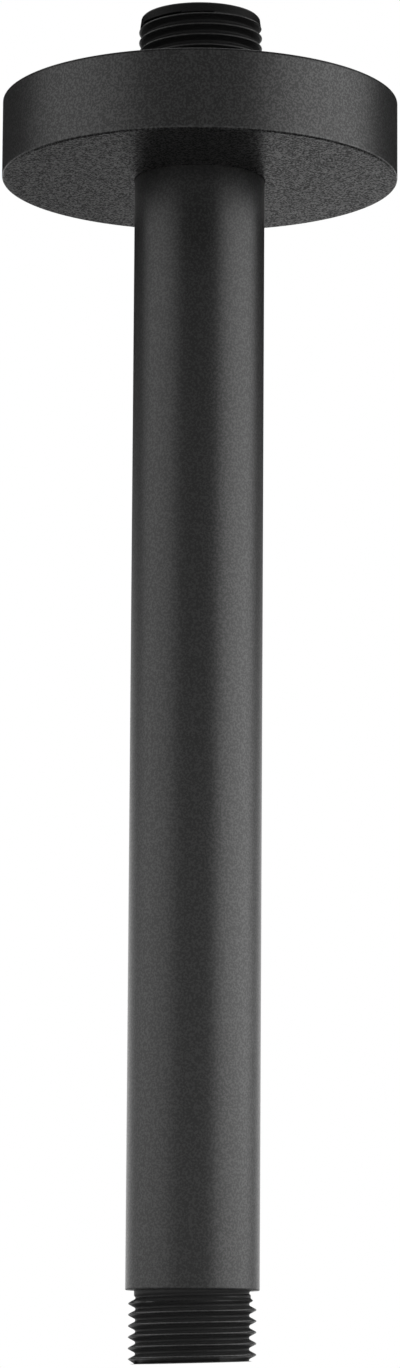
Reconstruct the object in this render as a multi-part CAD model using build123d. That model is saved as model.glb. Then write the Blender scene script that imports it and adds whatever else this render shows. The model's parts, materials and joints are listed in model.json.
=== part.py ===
from build123d import *
import os

# Ceiling shower arm: a turned pipe with a male pipe thread at each end, and a cover flange that slides
# and turns on it, held up by a rubber ring. Sizes are in millimetres. The ceiling is the plane Z = 0,
# the arm hangs down the Z axis below it, and every piece is turned about that axis.

# The pipe
pipe_diameter = 22.0
bore_diameter = 15.0
drop_length = 200.0  # from the ceiling down to the lower shoulder
ceiling_reach = 14.95  # of the upper thread, above the ceiling
outlet_length = 12.0  # of the lower thread, below its shoulder

# The two male threads, G 1/2, as plain turned blanks at the major diameter
thread_diameter = 20.955
thread_depth = 1.162
lead_length = 0.8  # of the cone at the lower tip, which runs down to the thread's root
neck_depth = 0.93  # of the turned neck beside each shoulder
neck_width = 1.2

# The plain land at the upper tip, which starts the thread straight in the ceiling's outlet
land_length = 1.7
land_depth = 0.17  # below the major diameter, on the radius
land_taper = 0.2  # more depth at its tip
land_break = 0.25

# The cover flange, a cup that is open towards the ceiling
flange_diameter = 67.0
flange_height = 13.5
flange_wall = 2.4
face_thickness = 3.0
flange_clearance = 0.3  # to the pipe, on the radius
boss_wall = 2.2  # of the boss round the hole, outside its groove
groove_lip = 2.25  # of the boss, above and below its groove

# The rubber ring, cut to a square section with bevelled corners, in its groove in the boss
ring_thickness = 2.1
ring_width = 2.6
ring_bevel = 0.6
ring_clearance = 0.05
groove_play = 0.35  # the ring's room along the pipe

# Broken edges and the flange's rounded lower edge
shoulder_break = 0.2
bore_break = 0.5
hole_break = 0.3
rim_break = 0.25
rim_round = 0.35
inside_bevel = 1.0
shoulder_stand = 0.75  # of the plain pipe, above the boss

pipe_radius = pipe_diameter / 2
bore_radius = bore_diameter / 2
thread_radius = thread_diameter / 2
flange_radius = flange_diameter / 2
hole_radius = pipe_radius + flange_clearance

ring_mid_radius = pipe_radius + ring_clearance + ring_thickness / 2
groove_radius = ring_mid_radius + ring_thickness / 2 + ring_clearance
groove_width = ring_width + groove_play
boss_radius = groove_radius + boss_wall
boss_height = groove_width + 2 * groove_lip

face_level = -flange_height
floor_level = face_level + face_thickness
boss_level = face_level + boss_height
groove_level = face_level + groove_lip + groove_width / 2
# The flange hangs on the ring, so the ring lies against the top of its groove.
ring_level = groove_level + groove_width / 2 - ring_clearance - ring_width / 2
upper_shoulder = boss_level + shoulder_stand
lower_shoulder = -drop_length
upper_end = ceiling_reach
lower_end = lower_shoulder - outlet_length

# Each tip is a list of depths below the thread's major radius and distances back from the end.
land_tip_depth = land_depth + land_taper
upper_tip = [
    (0, land_length + land_depth),
    (land_depth, land_length),
    (land_tip_depth, land_break),
    (land_tip_depth + land_break, 0),
]
lower_tip = [
    (0, lead_length),
    (thread_depth, 0),
]


def threaded_end(shoulder, end, tip):
    """Half-section of one end of the pipe, from its shoulder out to its tip and into its bore."""
    outward = 1 if end > shoulder else -1
    neck_radius = thread_radius - neck_depth
    neck_end = shoulder + outward * neck_width
    return [
        (pipe_radius, shoulder - outward * shoulder_break),
        (pipe_radius - shoulder_break, shoulder),
        (neck_radius, shoulder),
        (neck_radius, neck_end),
        (thread_radius, neck_end + outward * neck_depth),
        *[(thread_radius - depth, end - outward * back) for depth, back in tip],
        (bore_radius + bore_break, end),
        (bore_radius, end - outward * bore_break),
    ]


def corners(section, *points):
    """The corners of a section being drawn that lie nearest to these points."""
    return [section.sketch_local.vertices().sort_by_distance(point)[0] for point in points]


def make_arm_pipe():
    """The pipe, turned from one brass tube: two threaded ends, their necks and shoulders, and the bore."""
    upper = threaded_end(upper_shoulder, upper_end, upper_tip)
    lower = threaded_end(lower_shoulder, lower_end, lower_tip)
    with BuildPart() as pipe:
        with BuildSketch(Plane.XZ):
            with BuildLine():
                Polyline(*upper, *reversed(lower), close=True)
            make_face()
        revolve(axis=Axis.Z)
    return pipe.part


def make_flange():
    """The cover flange: a turned cup with a boss round its hole, and a groove in that boss for the ring."""
    inner_radius = flange_radius - flange_wall
    with BuildPart() as flange:
        with BuildSketch(Plane.XZ) as section:
            with BuildLine():
                Polyline(
                    (hole_radius, face_level),
                    (flange_radius, face_level),
                    (flange_radius, 0),
                    (inner_radius, 0),
                    (inner_radius, floor_level),
                    (boss_radius, floor_level),
                    (boss_radius, boss_level),
                    (hole_radius, boss_level),
                    close=True,
                )
            make_face()
            fillet(corners(section, (flange_radius, face_level)), rim_round)
            chamfer(corners(section, (flange_radius, 0), (inner_radius, 0)), rim_break)
            chamfer(corners(section, (inner_radius, floor_level), (boss_radius, floor_level)), inside_bevel)
            chamfer(corners(section, (hole_radius, face_level), (hole_radius, boss_level)), hole_break)
            with Locations((pipe_radius, groove_level)):
                groove_reach = groove_radius - pipe_radius
                Rectangle(groove_reach, groove_width, align=(Align.MIN, Align.CENTER), mode=Mode.SUBTRACT)
        revolve(axis=Axis.Z)
    return flange.part


def make_grip_ring():
    """The rubber ring that grips the pipe, with its corners bevelled so that it slides into the groove."""
    with BuildPart() as ring:
        with BuildSketch(Plane.XZ) as section:
            with Locations((ring_mid_radius, ring_level)):
                Rectangle(ring_thickness, ring_width)
            chamfer(section.vertices(), ring_bevel)
        revolve(axis=Axis.Z)
    return ring.part


pieces = {
    "arm_pipe": make_arm_pipe(),
    "flange": make_flange(),
    "grip_ring": make_grip_ring(),
}
os.makedirs("parts", exist_ok=True)
for name, piece in pieces.items():
    export_step(piece, f"parts/{name}.step")
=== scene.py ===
import json
import math

import bmesh
import bpy
from bpy.props import FloatProperty, FloatVectorProperty, PointerProperty
from mathutils import Matrix, Vector


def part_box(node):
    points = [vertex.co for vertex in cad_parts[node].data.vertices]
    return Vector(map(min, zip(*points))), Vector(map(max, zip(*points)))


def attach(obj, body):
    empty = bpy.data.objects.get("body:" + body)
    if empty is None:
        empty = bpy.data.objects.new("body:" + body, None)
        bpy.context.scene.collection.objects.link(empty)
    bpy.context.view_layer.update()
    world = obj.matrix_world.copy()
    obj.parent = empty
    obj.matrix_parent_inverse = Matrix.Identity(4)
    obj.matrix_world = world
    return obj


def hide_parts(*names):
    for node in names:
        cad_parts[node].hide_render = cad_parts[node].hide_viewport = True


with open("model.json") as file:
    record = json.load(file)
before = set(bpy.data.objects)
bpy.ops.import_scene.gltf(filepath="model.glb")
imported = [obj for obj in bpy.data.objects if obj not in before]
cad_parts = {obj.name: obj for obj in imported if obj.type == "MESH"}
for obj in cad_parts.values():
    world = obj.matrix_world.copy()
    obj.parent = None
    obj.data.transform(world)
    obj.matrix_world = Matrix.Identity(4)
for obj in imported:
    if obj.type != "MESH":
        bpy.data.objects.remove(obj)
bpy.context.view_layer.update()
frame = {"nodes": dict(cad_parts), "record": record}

bl_info = {
    "name": "Ceiling Shower Arm",
    "version": (1, 0, 0),
    "blender": (4, 5, 0),
    "location": "View3D > Sidebar > Shower Arm",
    "description": "Dresses a ceiling shower arm: its threaded pipe, cover flange, rubber ring and studio",
    "category": "Add Mesh",
}

# Lengths are in metres. The arm hangs down the Z axis from the ceiling, which is the plane Z = 0, and the
# camera looks along +Y.
MM = 0.001
AXIS = (0.0, 0.0, 1.0)
CENTRE = (0.0, 0.0, 0.0)
FULL_TURN = 2 * math.pi
PIPE_STEPS = 160  # facets round the pipe and its threads
FLANGE_STEPS = 256
FLOOR_STEPS = 64
ROUND_SEGMENTS = 4  # facets across a rounded edge
ROOT_SEGMENTS = 4  # facets across half of a thread's root
CREST_SEGMENTS = 4
FLANK_SEGMENTS = 3
GUARD = 1.6  # distance from a corner to its guard loops, in roundings
MOUTH_RING = 2  # width of the flat ring round the bore's mouth, in roundings
SHARP_ANGLE = math.radians(38)
NEAR = 0.001 * MM  # points this close are one place
CUT_GAP = NEAR / 10  # points this close to a cut lie in it
SEAM_GAP = 0.003 * MM  # points this close on two turns of a thread are joined
GRAIN_DETAIL = 2.0
GRAIN_ROUGHNESS = 0.6
MOTTLE_ROUGHNESS = 0.5
FRAME_LENGTH = 36.0  # longer side of the camera's frame, in millimetres
CLIP_START = 10 * MM
LENGTH_DIGITS = 5  # digits that the panel shows
NUMBER_DIGITS = 3
# Places of a colour Mix node's sockets, some of whose names are used twice
MIX_FIRST = 6
MIX_SECOND = 7
MIX_RESULT = 2

pipe_low, pipe_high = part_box("arm_pipe")
flange_low, flange_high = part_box("flange")
mounts = {mount["name"]: mount for mount in frame["record"]["mounts"]}
thread_radius = mounts["outlet_thread"]["dims"]["r_mm"]


def length(name, description, millimetres):
    """A length that the user can set, with its default in millimetres."""
    return FloatProperty(
        name=name, description=description, default=millimetres * MM, unit="LENGTH", precision=LENGTH_DIGITS
    )


def share(name, description, default):
    """A share from 0 to 1 that the user can set."""
    return FloatProperty(
        name=name, description=description, default=default, min=0.0, max=1.0, subtype="FACTOR",
        precision=NUMBER_DIGITS,
    )


def number(name, description, default):
    """A plain number that the user can set."""
    return FloatProperty(name=name, description=description, default=default, precision=NUMBER_DIGITS)


def angle(name, description, degrees):
    """An angle that the user can set, with its default in degrees."""
    return FloatProperty(name=name, description=description, default=math.radians(degrees), subtype="ANGLE")


def colour(name, description, default):
    """A colour that the user can set."""
    return FloatVectorProperty(name=name, description=description, default=default, size=4, subtype="COLOR")


class PipeSizes(bpy.types.PropertyGroup):
    """Sizes of the plain pipe."""

    radius: length("Radius", "Outer radius of the plain pipe", pipe_high[0] / MM)
    bore: length("Bore", "Radius of the water's bore", 7.5)
    upper_end: length("Upper end", "Level of the upper thread's tip", pipe_high[2] / MM)
    upper_shoulder: length("Upper shoulder", "Level where the upper thread starts, inside the flange", -5.3)
    lower_shoulder: length("Lower shoulder", "Level where the lower thread starts", -200.0)
    lower_end: length("Lower end", "Level of the lower thread's tip", pipe_low[2] / MM)
    shoulder_round: length("Shoulder rounding", "Radius of the shoulders' edges", 0.2)
    shoulder_face: length("Shoulder face", "Width of the flat ring inside each shoulder's edge", 0.45)
    bore_round: length("Bore rounding", "Radius of the bore's edges", 0.5)
    lower_slope: number("Lower slope", "Rise of the lower end face towards +X, per unit of width", 0.030)


class ThreadSizes(bpy.types.PropertyGroup):
    """Sizes of the two male pipe threads."""

    radius: length("Radius", "Radius over the crests", thread_radius)
    pitch: length("Pitch", "Rise in one turn, of a right-hand thread", 1.8143)
    depth: length("Depth", "Depth from crest to root", 1.162)
    flank: angle("Flank", "Half of the angle between two flanks", 27.5)
    crest_round: length("Crest rounding", "Radius of the coated crests", 0.17)
    neck_depth: length("Neck depth", "Depth of the turned neck beside a shoulder", 0.93)
    neck_width: length("Neck width", "Width of the turned neck", 1.2)
    lead: length("Lead", "Length of the cone at the lower tip", 0.8)
    land: length("Land", "Length of the plain land at the upper tip", 1.7)
    land_depth: length("Land depth", "Depth of the plain land below the crests", 0.17)
    land_taper: length("Land taper", "More depth of the land at its tip", 0.20)
    land_break: length("Land break", "Width of the land's broken edge", 0.25)
    upper_crest: length("Upper crest", "Level of one crest of the upper thread, on the +X side", 9.705)
    lower_crest: length("Lower crest", "Level of one crest of the lower thread, on the +X side", -203.077)


class FlangeSizes(bpy.types.PropertyGroup):
    """Sizes of the cover flange."""

    radius: length("Radius", "Outer radius", flange_high[0] / MM)
    face_level: length("Face level", "Level of the flat lower face", flange_low[2] / MM)
    rim_level: length("Rim level", "Level of the rim that meets the ceiling", flange_high[2] / MM)
    wall: length("Wall", "Thickness of the round wall", 2.4)
    face: length("Face", "Thickness of the flat face", 3.0)
    hole: length("Hole", "Radius of the hole that the pipe goes through", 11.08)
    boss: length("Boss", "Outer radius of the boss round the hole", 15.4)
    boss_height: length("Boss height", "Height of the boss above the lower face", 7.45)
    groove: length("Groove", "Radius of the ring's groove", 13.2)
    groove_width: length("Groove width", "Width of the ring's groove", 2.95)
    groove_lip: length("Groove lip", "Height of the groove above the lower face", 2.25)
    face_round: length("Face rounding", "Radius of the lower outer edge", 0.35)
    rim_round: length("Rim rounding", "Radius of the rim's edges", 0.25)
    hole_round: length("Hole rounding", "Radius of the hole's edges", 0.08)
    inside_round: length("Inside rounding", "Radius of the hollow's corners", 1.0)


class CoatFinish(bpy.types.PropertyGroup):
    """The powder coat and the ring's rubber."""

    pipe_black: colour("Pipe black", "Colour of the pipe's coat", (0.005, 0.005, 0.005, 1.0))
    pipe_fleck: colour("Pipe fleck", "Colour of the pipe's paler grains", (0.009, 0.009, 0.009, 1.0))
    flange_black: colour("Flange black", "Colour of the flange's coat", (0.005, 0.005, 0.005, 1.0))
    flange_fleck: colour("Flange fleck", "Colour of the flange's paler grains", (0.009, 0.009, 0.009, 1.0))
    pipe_roughness: share("Pipe roughness", "Roughness of the pipe's coat", 0.30)
    flange_roughness: share("Flange roughness", "Roughness of the flange's coat", 0.32)
    thread_roughness: share("Thread roughness", "Roughness added in the threads' grooves", 0.22)
    crest_start: length("Crest start", "Radius of the threads' burnished crests", 10.3)
    crest_fade: length("Crest fade", "Width of the change from groove to crest", 0.3)
    grain: length("Grain", "Width of one grain of the coat", 0.35)
    grain_height: length("Grain height", "Height of the grains", 0.045)
    grain_low: share("Grain low", "Noise level where a grain starts", 0.47)
    grain_high: share("Grain high", "Noise level where a grain is at its full gloss", 0.56)
    pipe_base: share("Pipe base", "Specular level of the pipe under its clear skin", 0.03)
    pipe_skin: share("Pipe skin", "Weight of the clear skin between the grains of the pipe", 0.75)
    pipe_grain: share("Pipe grain", "Weight that the skin gains on the grains of the pipe", 0.26)
    # The two groove colours are painted fill light: paler than the coat, and paler in the lower thread than
    # in the upper one.
    lower_groove_fill_light: colour("Lower black", "Colour in the lower thread's grooves", (0.020, 0.020, 0.020, 1.0))
    upper_groove_fill_light: colour("Upper black", "Colour in the upper thread's grooves", (0.011, 0.011, 0.011, 1.0))
    land_black: colour("Land black", "Colour of the upper tip's land", (0.005, 0.005, 0.005, 1.0))
    lower_groove: share("Lower groove", "Share of the skin left in the lower thread's grooves", 0.25)
    upper_groove: share("Upper groove", "Share of the skin left in the upper thread's grooves", 0.05)
    upper_ridge: share("Upper ridge", "Share of the skin left on the upper thread's crests", 0.4)
    land_skin: share("Land skin", "Share of the skin left on the upper tip's land", 0.0)
    flange_base: share("Flange base", "Specular level of the flange under its clear skin", 0.03)
    rim_skin: share("Rim skin", "Share of the skin left on the flange's upper rim", 0.1)
    wall_skin: share("Wall skin", "Weight of the clear skin between the grains of the flange's wall", 0.66)
    wall_grain: share("Wall grain", "Weight that the skin gains on the grains of the wall", 0.40)
    face_skin: share("Face skin", "Weight of the clear skin between the grains of the lower face", 0.02)
    face_grain: share("Face grain", "Weight that the skin gains on the grains of the lower face", 0.98)
    rubber: colour("Rubber", "Colour of the ring", (0.018, 0.018, 0.018, 1.0))
    rubber_roughness: share("Rubber roughness", "Least roughness of the ring", 0.65)
    rubber_mottle: share("Rubber mottle", "Roughness that the ring's mottle adds at most", 0.2)


class StudioSetup(bpy.types.PropertyGroup):
    """Camera, floor and the light of the surroundings."""

    camera_place: FloatVectorProperty(
        name="Camera place",
        description="Where the camera stands",
        default=(0.60 * MM, -758.56 * MM, -216.78 * MM),
        subtype="TRANSLATION",
        unit="LENGTH",
    )
    camera_pitch: angle("Camera pitch", "How far the camera looks up", 8.773)
    camera_roll: angle("Camera roll", "How far the camera is turned about its own line of sight", 0.369)
    lens: FloatProperty(
        name="Lens", description="Focal length, on a frame 36 mm high", default=121.15, unit="CAMERA"
    )
    right_level: number("Right level", "Brightness of the soft screen on the right, where 1 is white", 3.50)
    right_angle: angle("Right angle", "Angle of the right screen from the camera's side", 75.1)
    right_reach: angle("Right reach", "Angle from the right screen's middle to its edge", 52.4)
    right_fall: number("Right fall", "Share of its brightness that the right screen loses higher up", 0.38)
    left_level: number("Left level", "Brightness of the soft screen on the left", 1.10)
    left_angle: angle("Left angle", "Angle of the left screen from the camera's side", -73.1)
    left_reach: angle("Left reach", "Angle from the left screen's middle to its edge", 49.6)
    left_fall: number("Left fall", "Share that the left screen loses higher up, or gains if below 0", -0.28)
    fall_start: angle("Fall start", "Elevation at which the screens start to change", 3.0)
    fall_end: angle("Fall end", "Elevation at which the screens' change ends", 17.0)
    front_glow: number("Front glow", "Brightness of the room low on the camera's side", 1.05)
    back_glow: number("Back glow", "Brightness of the room low behind the arm", 0.95)
    glow_turn: number("Glow turn", "How far round the sides the room's front changes into its back", 0.4)
    glow_start: angle("Glow start", "Elevation at which the low glow starts to fade", 6.0)
    glow_end: angle("Glow end", "Elevation at which the low glow has faded", 11.5)
    front_sky: number("Front sky", "Brightness of the room high on the camera's side", 1.60)
    back_sky: number("Back sky", "Brightness of the room high behind the arm", 1.90)
    sky_start: angle("Sky start", "Elevation at which the high light starts", 25.0)
    sky_end: angle("Sky end", "Elevation at which the high light is full", 33.0)
    floor_level: length("Floor level", "Level of the floor", -262.0)
    floor_radius: length("Floor radius", "Radius of the floor", 9000.0)
    floor_grey: colour("Floor", "Colour of the floor", (0.6, 0.6, 0.6, 1.0))
    floor_glow: number("Floor glow", "Brightness added to the floor for the camera alone", 0.06)
    strip_left: number("Strip left", "Brightness in reflections of the left half of the far strip", 0.25)
    strip_right: number("Strip right", "Brightness in reflections of the right half of the far strip", 0.60)
    strip_side: number("Strip side", "Brightness in reflections of the floor beside the strip", 0.40)
    strip_half: length("Strip half", "Half of the width of the floor's far strip", 120.0)
    strip_fade: length("Strip fade", "Width over which the strip's brightness changes", 80.0)
    strip_start: length("Strip start", "Distance behind the arm at which the strip starts", 150.0)
    strip_full: length("Strip full", "Distance behind the arm at which the strip is at full level", 450.0)
    under_level: number("Under level", "Brightness in reflections of the floor under the arm", 0.33)
    apron_level: number("Apron level", "Brightness in reflections of the floor on the camera's side", 0.85)
    apron_start: length("Apron start", "Distance in front of the arm at which the floor brightens", 200.0)
    apron_full: length("Apron full", "Distance in front of the arm at which it is at full level", 400.0)


class ShowerArmSettings(bpy.types.PropertyGroup):
    """All the settings of the shower arm."""

    pipe: PointerProperty(type=PipeSizes, name="Pipe", description="Sizes of the plain pipe")
    thread: PointerProperty(type=ThreadSizes, name="Threads", description="Sizes of the threads")
    flange: PointerProperty(type=FlangeSizes, name="Flange", description="Sizes of the flange")
    coat: PointerProperty(type=CoatFinish, name="Finish", description="Coat and rubber")
    studio: PointerProperty(type=StudioSetup, name="Studio", description="Camera, floor and light")


class Wire:
    """One output socket of a node tree. Arithmetic on it adds Math nodes to the same tree."""

    def __init__(self, tree, socket=None):
        self.tree = tree
        self.socket = socket

    def node(self, kind, settings=None, sockets=None, out=0):
        """Adds a node, makes its settings, then fills its sockets with values or wires."""
        made = self.tree.nodes.new(kind)
        for name, value in (settings or {}).items():
            setattr(made, name, value)
        for name, value in (sockets or {}).items():
            if isinstance(value, Wire):
                self.tree.links.new(value.socket, made.inputs[name])
            else:
                made.inputs[name].default_value = value
        return Wire(self.tree, made.outputs[out] if made.outputs else None)

    def maths(self, operation, left, right=0.0):
        return self.node("ShaderNodeMath", {"operation": operation}, {0: left, 1: right})

    def __add__(self, other):
        return self.maths("ADD", self, other)

    def __radd__(self, other):
        return self.maths("ADD", other, self)

    def __sub__(self, other):
        return self.maths("SUBTRACT", self, other)

    def __rsub__(self, other):
        return self.maths("SUBTRACT", other, self)

    def __mul__(self, other):
        return self.maths("MULTIPLY", self, other)

    def __rmul__(self, other):
        return self.maths("MULTIPLY", other, self)

    def __abs__(self):
        return self.maths("ABSOLUTE", self)

    def parts(self):
        """The three numbers of a vector."""
        split = self.node("ShaderNodeSeparateXYZ", {}, {"Vector": self})
        return [Wire(self.tree, socket) for socket in split.socket.node.outputs]

    def rise(self, start, end):
        """A smooth step that is 0 at start and 1 at end."""
        ends = {"Value": self, "From Min": start, "From Max": end}
        return self.node("ShaderNodeMapRange", {"interpolation_type": "SMOOTHSTEP"}, ends)

    def blend(self, first, second):
        """The first colour where this value is 0 and the second where it is 1."""
        mixed = {"Factor": self, MIX_FIRST: first, MIX_SECOND: second}
        return self.node("ShaderNodeMix", {"data_type": "RGBA"}, mixed, out=MIX_RESULT)


def new_graph(owner):
    """An empty node tree on a material or world."""
    owner.use_nodes = True
    owner.node_tree.nodes.clear()
    return Wire(owner.node_tree)


def guarded(outline, closed):
    """Adds a guard point on each side of every rounded corner, so that flat faces stay flat beside it."""
    corners = [Vector((radius, level)) for radius, level, rounding in outline]
    roundings = [rounding for radius, level, rounding in outline]
    points = []
    for place, (corner, rounding) in enumerate(zip(corners, roundings)):
        neighbours = [corners[place - 1], corners[(place + 1) % len(corners)]]
        guards = [corner + (other - corner).normalized() * rounding * GUARD for other in neighbours]
        has_before = closed or place > 0
        has_after = closed or place < len(corners) - 1
        if rounding and has_before:
            points.append(guards[0])
        points.append(corner)
        if rounding and has_after:
            points.append(guards[1])
    return points


def on_circle(vert, radius, level):
    """True for a vertex on the circle of that radius at that level."""
    return abs(math.hypot(vert.co.x, vert.co.y) - radius) < NEAR and abs(vert.co.z - level) < NEAR


def turn(bm, outline, steps, closed):
    """Spins an outline of (radius, level, rounding) corners about the arm's axis, and rounds its edges."""
    verts = [bm.verts.new((point.x, 0.0, point.y)) for point in guarded(outline, closed)]
    followers = verts[1:] + verts[:1] if closed else verts[1:]
    edges = [bm.edges.new(pair) for pair in zip(verts, followers)]
    bmesh.ops.spin(
        bm, geom=verts + edges, cent=CENTRE, axis=AXIS, angle=FULL_TURN, steps=steps, use_merge=True
    )
    for radius, level, rounding in outline:
        if rounding:
            ring = [edge for edge in bm.edges if all(on_circle(vert, radius, level) for vert in edge.verts)]
            bmesh.ops.bevel(
                bm, geom=ring, offset=rounding, offset_type="OFFSET", affect="EDGES",
                segments=ROUND_SEGMENTS, profile=0.5, material=-1,
            )


class Cut:
    """A flat cut across the arm, by its level on the axis and its rise towards +X.

    The metal that stays lies above the cut where metal is 1, and below it where metal is -1.
    """

    def __init__(self, level, metal, slope=0.0):
        self.level = level
        self.metal = metal
        self.slope = slope

    def depth(self, place):
        """How far a place lies inside the metal."""
        return (place.z - self.level - self.slope * place.x) * self.metal

    def trim(self, bm):
        """Takes away all of a bmesh that lies outside the cut."""
        outwards = (Vector((-self.slope, 0.0, 1.0)) * -self.metal).normalized()
        everything = bm.verts[:] + bm.edges[:] + bm.faces[:]
        bmesh.ops.bisect_plane(
            bm, geom=everything, dist=CUT_GAP, plane_co=(0.0, 0.0, self.level), plane_no=outwards,
            clear_outer=True,
        )
        slivers = [edge for edge in bm.edges if edge.is_wire]
        bmesh.ops.delete(bm, geom=slivers, context="EDGES")

    def close(self, bm):
        """Bridges the two open loops that lie in the cut with a flat ring."""
        loops = [
            edge for edge in bm.edges
            if edge.is_boundary and all(abs(self.depth(vert.co)) < NEAR for vert in edge.verts)
        ]
        bmesh.ops.bridge_loops(bm, edges=loops)


def arc(centre, radius, start, end, segments):
    """Points of a (radius, level) arc, with angles measured from straight outwards."""
    angles = [start + (end - start) * step / segments for step in range(segments + 1)]
    return [centre + radius * Vector((math.cos(turned), math.sin(turned))) for turned in angles]


def thread_tooth(thread):
    """Outline of one tooth of the thread, from root to root, with its crest at level 0."""
    swing = math.pi / 2 - thread.flank
    lean = math.sin(thread.flank)
    half_pitch = thread.pitch / 2
    # The flanks meet under the root, and the root's rounding is what fits above that point.
    crest_loss = thread.crest_round * (1 / lean - 1)
    root_gap = half_pitch / math.tan(thread.flank) - crest_loss - thread.depth
    root_round = root_gap * lean / (1 - lean)
    crest_centre = Vector((thread.radius - thread.crest_round, 0.0))
    root_radius = thread.radius - thread.depth + root_round
    below = arc(Vector((root_radius, -half_pitch)), root_round, math.pi, math.pi - swing, ROOT_SEGMENTS)
    crest = arc(crest_centre, thread.crest_round, -swing, swing, CREST_SEGMENTS)
    above = arc(Vector((root_radius, half_pitch)), root_round, swing - math.pi, -math.pi, ROOT_SEGMENTS)
    lower_flank = [below[-1].lerp(crest[0], step / FLANK_SEGMENTS) for step in range(1, FLANK_SEGMENTS)]
    upper_flank = [crest[-1].lerp(above[0], step / FLANK_SEGMENTS) for step in range(1, FLANK_SEGMENTS)]
    return below + lower_flank + crest + upper_flank + above


def turned_radius(thread, shoulder, tip, land, place):
    """Radius of the thread at a place, once its neck and its plain land or lead cone have been turned."""
    from_tip = tip.depth(place)
    past_neck = max(0.0, shoulder.depth(place) - thread.neck_width)
    limit = thread.radius - thread.neck_depth + past_neck
    radius = min(math.hypot(place.x, place.y), limit)
    if from_tip < land:
        taper = thread.land_taper * (land - from_tip) / (land - thread.land_break)
        edge = max(0.0, thread.land_break - from_tip)
        return thread.radius - thread.land_depth - min(taper, thread.land_taper) - edge
    if land:
        return min(radius, thread.radius - thread.land_depth + from_tip - land)
    return min(radius, thread.radius - thread.depth + from_tip * thread.depth / thread.lead)


def cut_thread(bm, thread, shoulder, tip, land, crest_level):
    """Adds a right-hand thread between a shoulder and a tip, with a crest at crest_level on the +X side."""
    low, high = sorted((shoulder.level, tip.level))
    first = crest_level - math.ceil((crest_level - low) / thread.pitch + 1) * thread.pitch
    turns = math.ceil((high - first) / thread.pitch + 1)
    helix = bmesh.new()
    verts = [helix.verts.new((point.x, 0.0, first + point.y)) for point in thread_tooth(thread)]
    edges = [helix.edges.new(pair) for pair in zip(verts, verts[1:])]
    bmesh.ops.spin(
        helix, geom=verts + edges, cent=CENTRE, axis=AXIS, dvec=(0.0, 0.0, thread.pitch / PIPE_STEPS),
        angle=FULL_TURN, steps=PIPE_STEPS,
    )
    one_turn = helix.verts[:] + helix.edges[:] + helix.faces[:]
    for number in range(1, turns):
        copy = bmesh.ops.duplicate(helix, geom=one_turn)["geom"]
        copied = [item for item in copy if isinstance(item, bmesh.types.BMVert)]
        bmesh.ops.translate(helix, verts=copied, vec=(0.0, 0.0, number * thread.pitch))
    bmesh.ops.remove_doubles(helix, verts=helix.verts[:], dist=SEAM_GAP)
    for vert in helix.verts:
        change = turned_radius(thread, shoulder, tip, land, vert.co) / math.hypot(vert.co.x, vert.co.y)
        vert.co.x *= change
        vert.co.y *= change
    shoulder.trim(helix)
    tip.trim(helix)
    mesh = bpy.data.meshes.new("thread")
    helix.to_mesh(mesh)
    helix.free()
    bm.from_mesh(mesh)
    bpy.data.meshes.remove(mesh)


def add_piece(bm, name, material):
    """Makes an object of a finished bmesh: closed, facing outwards, smooth but for its sharp edges."""
    bmesh.ops.remove_doubles(bm, verts=bm.verts[:], dist=NEAR)
    bmesh.ops.recalc_face_normals(bm, faces=bm.faces[:])
    open_edges = [edge for edge in bm.edges if not edge.is_manifold]
    if open_edges:
        raise RuntimeError(f"{name} has {len(open_edges)} open edges")
    for face in bm.faces:
        face.smooth = True
    for edge in bm.edges:
        edge.smooth = edge.calc_face_angle(0.0) < SHARP_ANGLE
    mesh = bpy.data.meshes.new(name)
    bm.to_mesh(mesh)
    bm.free()
    mesh.materials.append(material)
    piece = bpy.data.objects.new(name, mesh)
    bpy.context.scene.collection.objects.link(piece)
    return piece


def groove_mask(coat, place):
    """1 in the threads' grooves and 0 from their crests outwards."""
    across = place.node("ShaderNodeVectorMath", {"operation": "MULTIPLY"}, {0: place, 1: (1.0, 1.0, 0.0)})
    radius = place.node("ShaderNodeVectorMath", {"operation": "LENGTH"}, {0: across}, out="Value")
    return 1.0 - radius.rise(coat.crest_start - coat.crest_fade, coat.crest_start)


def pipe_look(settings, place, fleck):
    """The pipe's coat: its clear skin is thin in the threads' grooves and missing on the upper land. Its
    grooves get a paler colour as painted fill light, more in the lower thread than in the upper one.
    """
    coat, pipe = settings.coat, settings.pipe
    height = place.parts()[2]
    groove = groove_mask(coat, place)
    upper = height.rise(pipe.upper_shoulder, pipe.upper_shoulder + coat.crest_fade)
    land_level = pipe.upper_end - settings.thread.land
    land = height.rise(land_level - coat.crest_fade, land_level)
    below = 1.0 + groove * (coat.lower_groove - 1.0)
    above = coat.upper_ridge + groove * (coat.upper_groove - coat.upper_ridge)
    threaded = below + upper * (above - below)
    left = threaded + land * (coat.land_skin - threaded)
    tint = fleck.blend(tuple(coat.pipe_black), tuple(coat.pipe_fleck))
    # Painted fill light: the grooves take a paler colour than the coat, the lower thread's paler than the
    # upper's.
    groove_fill_light = upper.blend(tuple(coat.lower_groove_fill_light), tuple(coat.upper_groove_fill_light))
    tint_and_groove_fill_light = groove.blend(tint, groove_fill_light)
    return {
        "Base Color": land.blend(tint_and_groove_fill_light, tuple(coat.land_black)),
        "Roughness": coat.pipe_roughness + groove * coat.thread_roughness,
        "Coat Weight": (coat.pipe_skin + fleck * coat.pipe_grain) * left,
        "Coat Roughness": coat.pipe_roughness,
        "Specular IOR Level": coat.pipe_base,
    }


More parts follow.
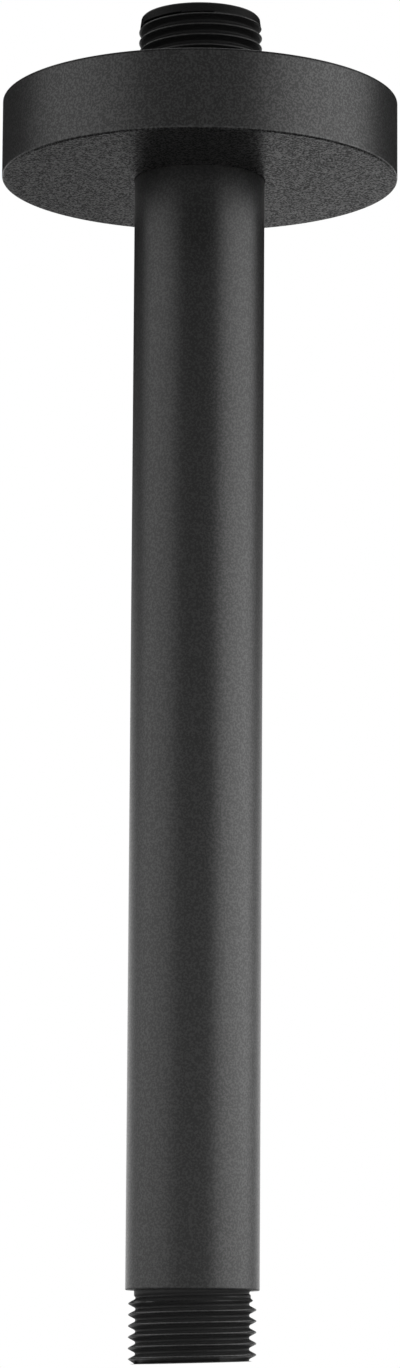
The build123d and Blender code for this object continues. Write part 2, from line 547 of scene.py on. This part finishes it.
def flange_look(settings, place, fleck):
    """The flange's coat: its clear skin is thin on the rim, and on the lower face only on the grains."""
    coat, flange = settings.coat, settings.flange
    height = place.parts()[2]
    wall = height.rise(flange.face_level, flange.face_level + flange.face_round)
    rim_start = flange.rim_level - flange.rim_round
    rim = height.rise(rim_start - flange.rim_round, rim_start)
    skin = coat.face_skin + wall * (coat.wall_skin - coat.face_skin)
    grain = coat.face_grain + wall * (coat.wall_grain - coat.face_grain)
    return {
        "Base Color": fleck.blend(tuple(coat.flange_black), tuple(coat.flange_fleck)),
        "Roughness": coat.flange_roughness,
        "Coat Weight": (skin + fleck * grain) * (1.0 + rim * (coat.rim_skin - 1.0)),
        "Coat Roughness": coat.flange_roughness,
        "Specular IOR Level": coat.flange_base,
    }


def powder_coat(name, settings, look):
    """Satin black powder coat, whose fine grains carry a glossier skin than the coat between them."""
    coat = settings.coat
    material = bpy.data.materials.new(name)
    graph = new_graph(material)
    place = graph.node("ShaderNodeTexCoord", out="Object")
    grain = graph.node(
        "ShaderNodeTexNoise", {},
        {"Vector": place, "Scale": 1 / coat.grain, "Detail": GRAIN_DETAIL, "Roughness": GRAIN_ROUGHNESS},
    )
    fleck = grain.rise(coat.grain_low, coat.grain_high)
    relief = graph.node("ShaderNodeBump", {}, {"Height": grain, "Distance": coat.grain_height})
    sockets = {"Normal": relief, **look(settings, place, fleck)}
    shader = graph.node("ShaderNodeBsdfPrincipled", {}, sockets)
    graph.node("ShaderNodeOutputMaterial", {}, {"Surface": shader})
    return material


def ring_rubber(coat):
    """Dull black moulded rubber with a faint mottle."""
    material = bpy.data.materials.new("black_ring_rubber")
    graph = new_graph(material)
    place = graph.node("ShaderNodeTexCoord", out="Object")
    mottle = graph.node(
        "ShaderNodeTexNoise", {},
        {"Vector": place, "Scale": 1 / coat.grain, "Detail": GRAIN_DETAIL, "Roughness": MOTTLE_ROUGHNESS},
    )
    roughness = coat.rubber_roughness + mottle * coat.rubber_mottle
    shader = graph.node(
        "ShaderNodeBsdfPrincipled", {}, {"Base Color": tuple(coat.rubber), "Roughness": roughness}
    )
    graph.node("ShaderNodeOutputMaterial", {}, {"Surface": shader})
    return material


class SHOWERARM_OT_pipe(bpy.types.Operator):
    """Turn the pipe, cut its two threads and coat it"""

    bl_idname = "shower_arm.pipe"
    bl_label = "Threaded Pipe"

    def execute(self, context):
        settings = context.scene.shower_arm
        pipe, thread = settings.pipe, settings.thread
        face_edge = pipe.radius - pipe.shoulder_face
        outside = [
            (face_edge, pipe.upper_shoulder, 0.0),
            (pipe.radius, pipe.upper_shoulder, pipe.shoulder_round),
            (pipe.radius, pipe.lower_shoulder, pipe.shoulder_round),
            (face_edge, pipe.lower_shoulder, 0.0),
        ]
        mouth = pipe.bore + pipe.bore_round * MOUTH_RING
        bore = [
            (mouth, pipe.lower_end, 0.0),
            (pipe.bore, pipe.lower_end, pipe.bore_round),
            (pipe.bore, pipe.upper_end, pipe.bore_round),
            (mouth, pipe.upper_end, 0.0),
        ]
        # The lower end face is cut a little out of square. Its lowest side is at the lower end's level.
        lower_level = pipe.lower_end + pipe.lower_slope * thread.radius
        upper_tip = Cut(pipe.upper_end, metal=-1)
        upper_shoulder = Cut(pipe.upper_shoulder, metal=1)
        lower_shoulder = Cut(pipe.lower_shoulder, metal=-1)
        lower_tip = Cut(lower_level, metal=1, slope=pipe.lower_slope)
        bm = bmesh.new()
        turn(bm, bore, PIPE_STEPS, closed=False)
        for vert in bm.verts:
            if vert.co.z < pipe.lower_shoulder:
                vert.co.z += lower_level - pipe.lower_end + pipe.lower_slope * vert.co.x
        turn(bm, outside, PIPE_STEPS, closed=False)
        cut_thread(bm, thread, upper_shoulder, upper_tip, thread.land, thread.upper_crest)
        cut_thread(bm, thread, lower_shoulder, lower_tip, 0.0, thread.lower_crest)
        for cut in (upper_tip, upper_shoulder, lower_shoulder, lower_tip):
            cut.close(bm)
        finish = powder_coat("pipe_powder_coat", settings, pipe_look)
        piece = add_piece(bm, "threaded_pipe", finish)
        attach(piece, "arm")
        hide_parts("arm_pipe")
        return {"FINISHED"}


class SHOWERARM_OT_flange(bpy.types.Operator):
    """Turn the cover flange with its boss and ring groove, and coat it"""

    bl_idname = "shower_arm.flange"
    bl_label = "Cover Flange"

    def execute(self, context):
        settings = context.scene.shower_arm
        flange = settings.flange
        inner = flange.radius - flange.wall
        floor = flange.face_level + flange.face
        boss_level = flange.face_level + flange.boss_height
        groove_bottom = flange.face_level + flange.groove_lip
        groove_top = groove_bottom + flange.groove_width
        section = [
            (flange.hole, flange.face_level, flange.hole_round),
            (flange.radius, flange.face_level, flange.face_round),
            (flange.radius, flange.rim_level, flange.rim_round),
            (inner, flange.rim_level, flange.rim_round),
            (inner, floor, flange.inside_round),
            (flange.boss, floor, flange.inside_round),
            (flange.boss, boss_level, flange.hole_round),
            (flange.hole, boss_level, flange.hole_round),
            (flange.hole, groove_top, 0.0),
            (flange.groove, groove_top, 0.0),
            (flange.groove, groove_bottom, 0.0),
            (flange.hole, groove_bottom, 0.0),
        ]
        bm = bmesh.new()
        turn(bm, section, FLANGE_STEPS, closed=True)
        finish = powder_coat("flange_powder_coat", settings, flange_look)
        piece = add_piece(bm, "cover_flange", finish)
        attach(piece, "rose")
        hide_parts("flange")
        return {"FINISHED"}


class SHOWERARM_OT_ring(bpy.types.Operator):
    """Give the rubber ring inside the flange its finish"""

    bl_idname = "shower_arm.ring"
    bl_label = "Rubber Ring"

    def execute(self, context):
        ring = frame["nodes"]["grip_ring"]
        ring.data.materials.clear()
        ring.data.materials.append(ring_rubber(context.scene.shower_arm.coat))
        return {"FINISHED"}


def add_camera(scene, studio):
    """The camera at the photograph's place, looking up along the arm."""
    data = bpy.data.cameras.new("camera")
    data.sensor_width = FRAME_LENGTH
    data.lens = studio.lens
    data.clip_start = CLIP_START
    camera = bpy.data.objects.new("camera", data)
    look = Matrix.Rotation(math.pi / 2 + studio.camera_pitch, 4, "X")
    roll = Matrix.Rotation(studio.camera_roll, 4, "Z")
    camera.matrix_world = Matrix.Translation(studio.camera_place) @ look @ roll
    scene.collection.objects.link(camera)
    scene.camera = camera


def add_floor(studio):
    """A wide pale floor under the arm, which the arm's gloss sees dimmed, and least so in front."""
    material = bpy.data.materials.new("pale_floor")
    graph = new_graph(material)
    across, depth = graph.node("ShaderNodeTexCoord", out="Object").parts()[:2]
    seen = graph.node("ShaderNodeLightPath", out="Is Camera Ray")
    mirrored = graph.node("ShaderNodeLightPath", out="Is Glossy Ray")
    plain = graph.node("ShaderNodeBsdfDiffuse", {}, {"Color": tuple(studio.floor_grey)})
    glow = graph.node("ShaderNodeEmission", {}, {"Color": seen * studio.floor_glow})
    pale = graph.node("ShaderNodeAddShader", {}, {0: plain, 1: glow})
    half_fade = studio.strip_fade / 2
    rightward = across.rise(-half_fade, half_fade)
    strip = studio.strip_left + rightward * (studio.strip_right - studio.strip_left)
    beside = abs(across).rise(studio.strip_half - half_fade, studio.strip_half + half_fade)
    far = strip + beside * (studio.strip_side - strip)
    backward = depth.rise(studio.strip_start, studio.strip_full)
    forward = 1.0 - depth.rise(-studio.apron_full, -studio.apron_start)
    under = studio.under_level + forward * (studio.apron_level - studio.under_level)
    sheen = under + backward * (far - under)
    dim = graph.node("ShaderNodeEmission", {}, {"Color": sheen})
    both = graph.node("ShaderNodeMixShader", {}, {0: mirrored, 1: pale, 2: dim})
    graph.node("ShaderNodeOutputMaterial", {}, {"Surface": both})
    bm = bmesh.new()
    bmesh.ops.create_circle(bm, cap_ends=True, segments=FLOOR_STEPS, radius=studio.floor_radius)
    bmesh.ops.translate(bm, verts=bm.verts[:], vec=(0.0, 0.0, studio.floor_level))
    mesh = bpy.data.meshes.new("floor")
    bm.to_mesh(mesh)
    bm.free()
    mesh.materials.append(material)
    floor = bpy.data.objects.new("floor", mesh)
    bpy.context.scene.collection.objects.link(floor)


def soft_screen(graph, direction, climb, level, side, reach, fall):
    """Light from a large soft screen that stands at an angle from the camera's side of the arm."""
    towards = (math.sin(side), -math.cos(side), 0.0)
    facing = graph.node(
        "ShaderNodeVectorMath", {"operation": "DOT_PRODUCT"}, {0: direction, 1: towards}, out="Value"
    )
    return facing.rise(math.cos(reach), 1.0) * (1.0 - climb * fall) * level


def add_world(scene, studio):
    """A soft studio all round: two screens, a low glow and a high sky, and plain white for the camera."""
    world = bpy.data.worlds.new("studio")
    scene.world = world
    graph = new_graph(world)
    direction = graph.node("ShaderNodeTexCoord", out="Generated")
    depth, height = direction.parts()[1:]
    climb = height.rise(math.sin(studio.fall_start), math.sin(studio.fall_end))
    right = soft_screen(
        graph, direction, climb,
        studio.right_level, studio.right_angle, studio.right_reach, studio.right_fall,
    )
    left = soft_screen(
        graph, direction, climb,
        studio.left_level, studio.left_angle, studio.left_reach, studio.left_fall,
    )
    behind = depth.rise(-studio.glow_turn, studio.glow_turn)
    low = 1.0 - height.rise(math.sin(studio.glow_start), math.sin(studio.glow_end))
    glow = low * (studio.front_glow + behind * (studio.back_glow - studio.front_glow))
    high = height.rise(math.sin(studio.sky_start), math.sin(studio.sky_end))
    sky = high * (studio.front_sky + behind * (studio.back_sky - studio.front_sky))
    room = right + left + glow + sky
    seen = graph.node("ShaderNodeLightPath", out="Is Camera Ray")
    level = room + seen * (1.0 - room)
    surroundings = graph.node("ShaderNodeBackground", {}, {"Color": level, "Strength": 1.0})
    graph.node("ShaderNodeOutputWorld", {}, {"Surface": surroundings})


class SHOWERARM_OT_studio(bpy.types.Operator):
    """Set up the camera, the floor and the soft light all round"""

    bl_idname = "shower_arm.studio"
    bl_label = "Studio"

    def execute(self, context):
        scene = context.scene
        studio = scene.shower_arm.studio
        add_camera(scene, studio)
        add_floor(studio)
        add_world(scene, studio)
        scene.view_settings.view_transform = "Standard"
        return {"FINISHED"}


class SHOWERARM_PT_panel(bpy.types.Panel):
    """Sidebar panel with the steps that dress the shower arm and their settings"""

    bl_idname = "SHOWERARM_PT_panel"
    bl_label = "Shower Arm"
    bl_space_type = "VIEW_3D"
    bl_region_type = "UI"
    bl_category = "Shower Arm"

    def draw(self, context):
        settings = context.scene.shower_arm
        steps = (
            (SHOWERARM_OT_pipe, (settings.pipe, settings.thread)),
            (SHOWERARM_OT_flange, (settings.flange,)),
            (SHOWERARM_OT_ring, (settings.coat,)),
            (SHOWERARM_OT_studio, (settings.studio,)),
        )
        for operator, groups in steps:
            self.layout.operator(operator.bl_idname)
            for group in groups:
                for name in group.__annotations__:
                    self.layout.prop(group, name)


CLASSES = (
    PipeSizes,
    ThreadSizes,
    FlangeSizes,
    CoatFinish,
    StudioSetup,
    ShowerArmSettings,
    SHOWERARM_OT_pipe,
    SHOWERARM_OT_flange,
    SHOWERARM_OT_ring,
    SHOWERARM_OT_studio,
    SHOWERARM_PT_panel,
)


def register():
    for kind in CLASSES:
        bpy.utils.register_class(kind)
    bpy.types.Scene.shower_arm = PointerProperty(type=ShowerArmSettings)


def unregister():
    del bpy.types.Scene.shower_arm
    for kind in reversed(CLASSES):
        bpy.utils.unregister_class(kind)


def main():
    register()
    bpy.ops.shower_arm.pipe()
    bpy.ops.shower_arm.flange()
    bpy.ops.shower_arm.ring()
    bpy.ops.shower_arm.studio()


if __name__ == "__main__":
    main()
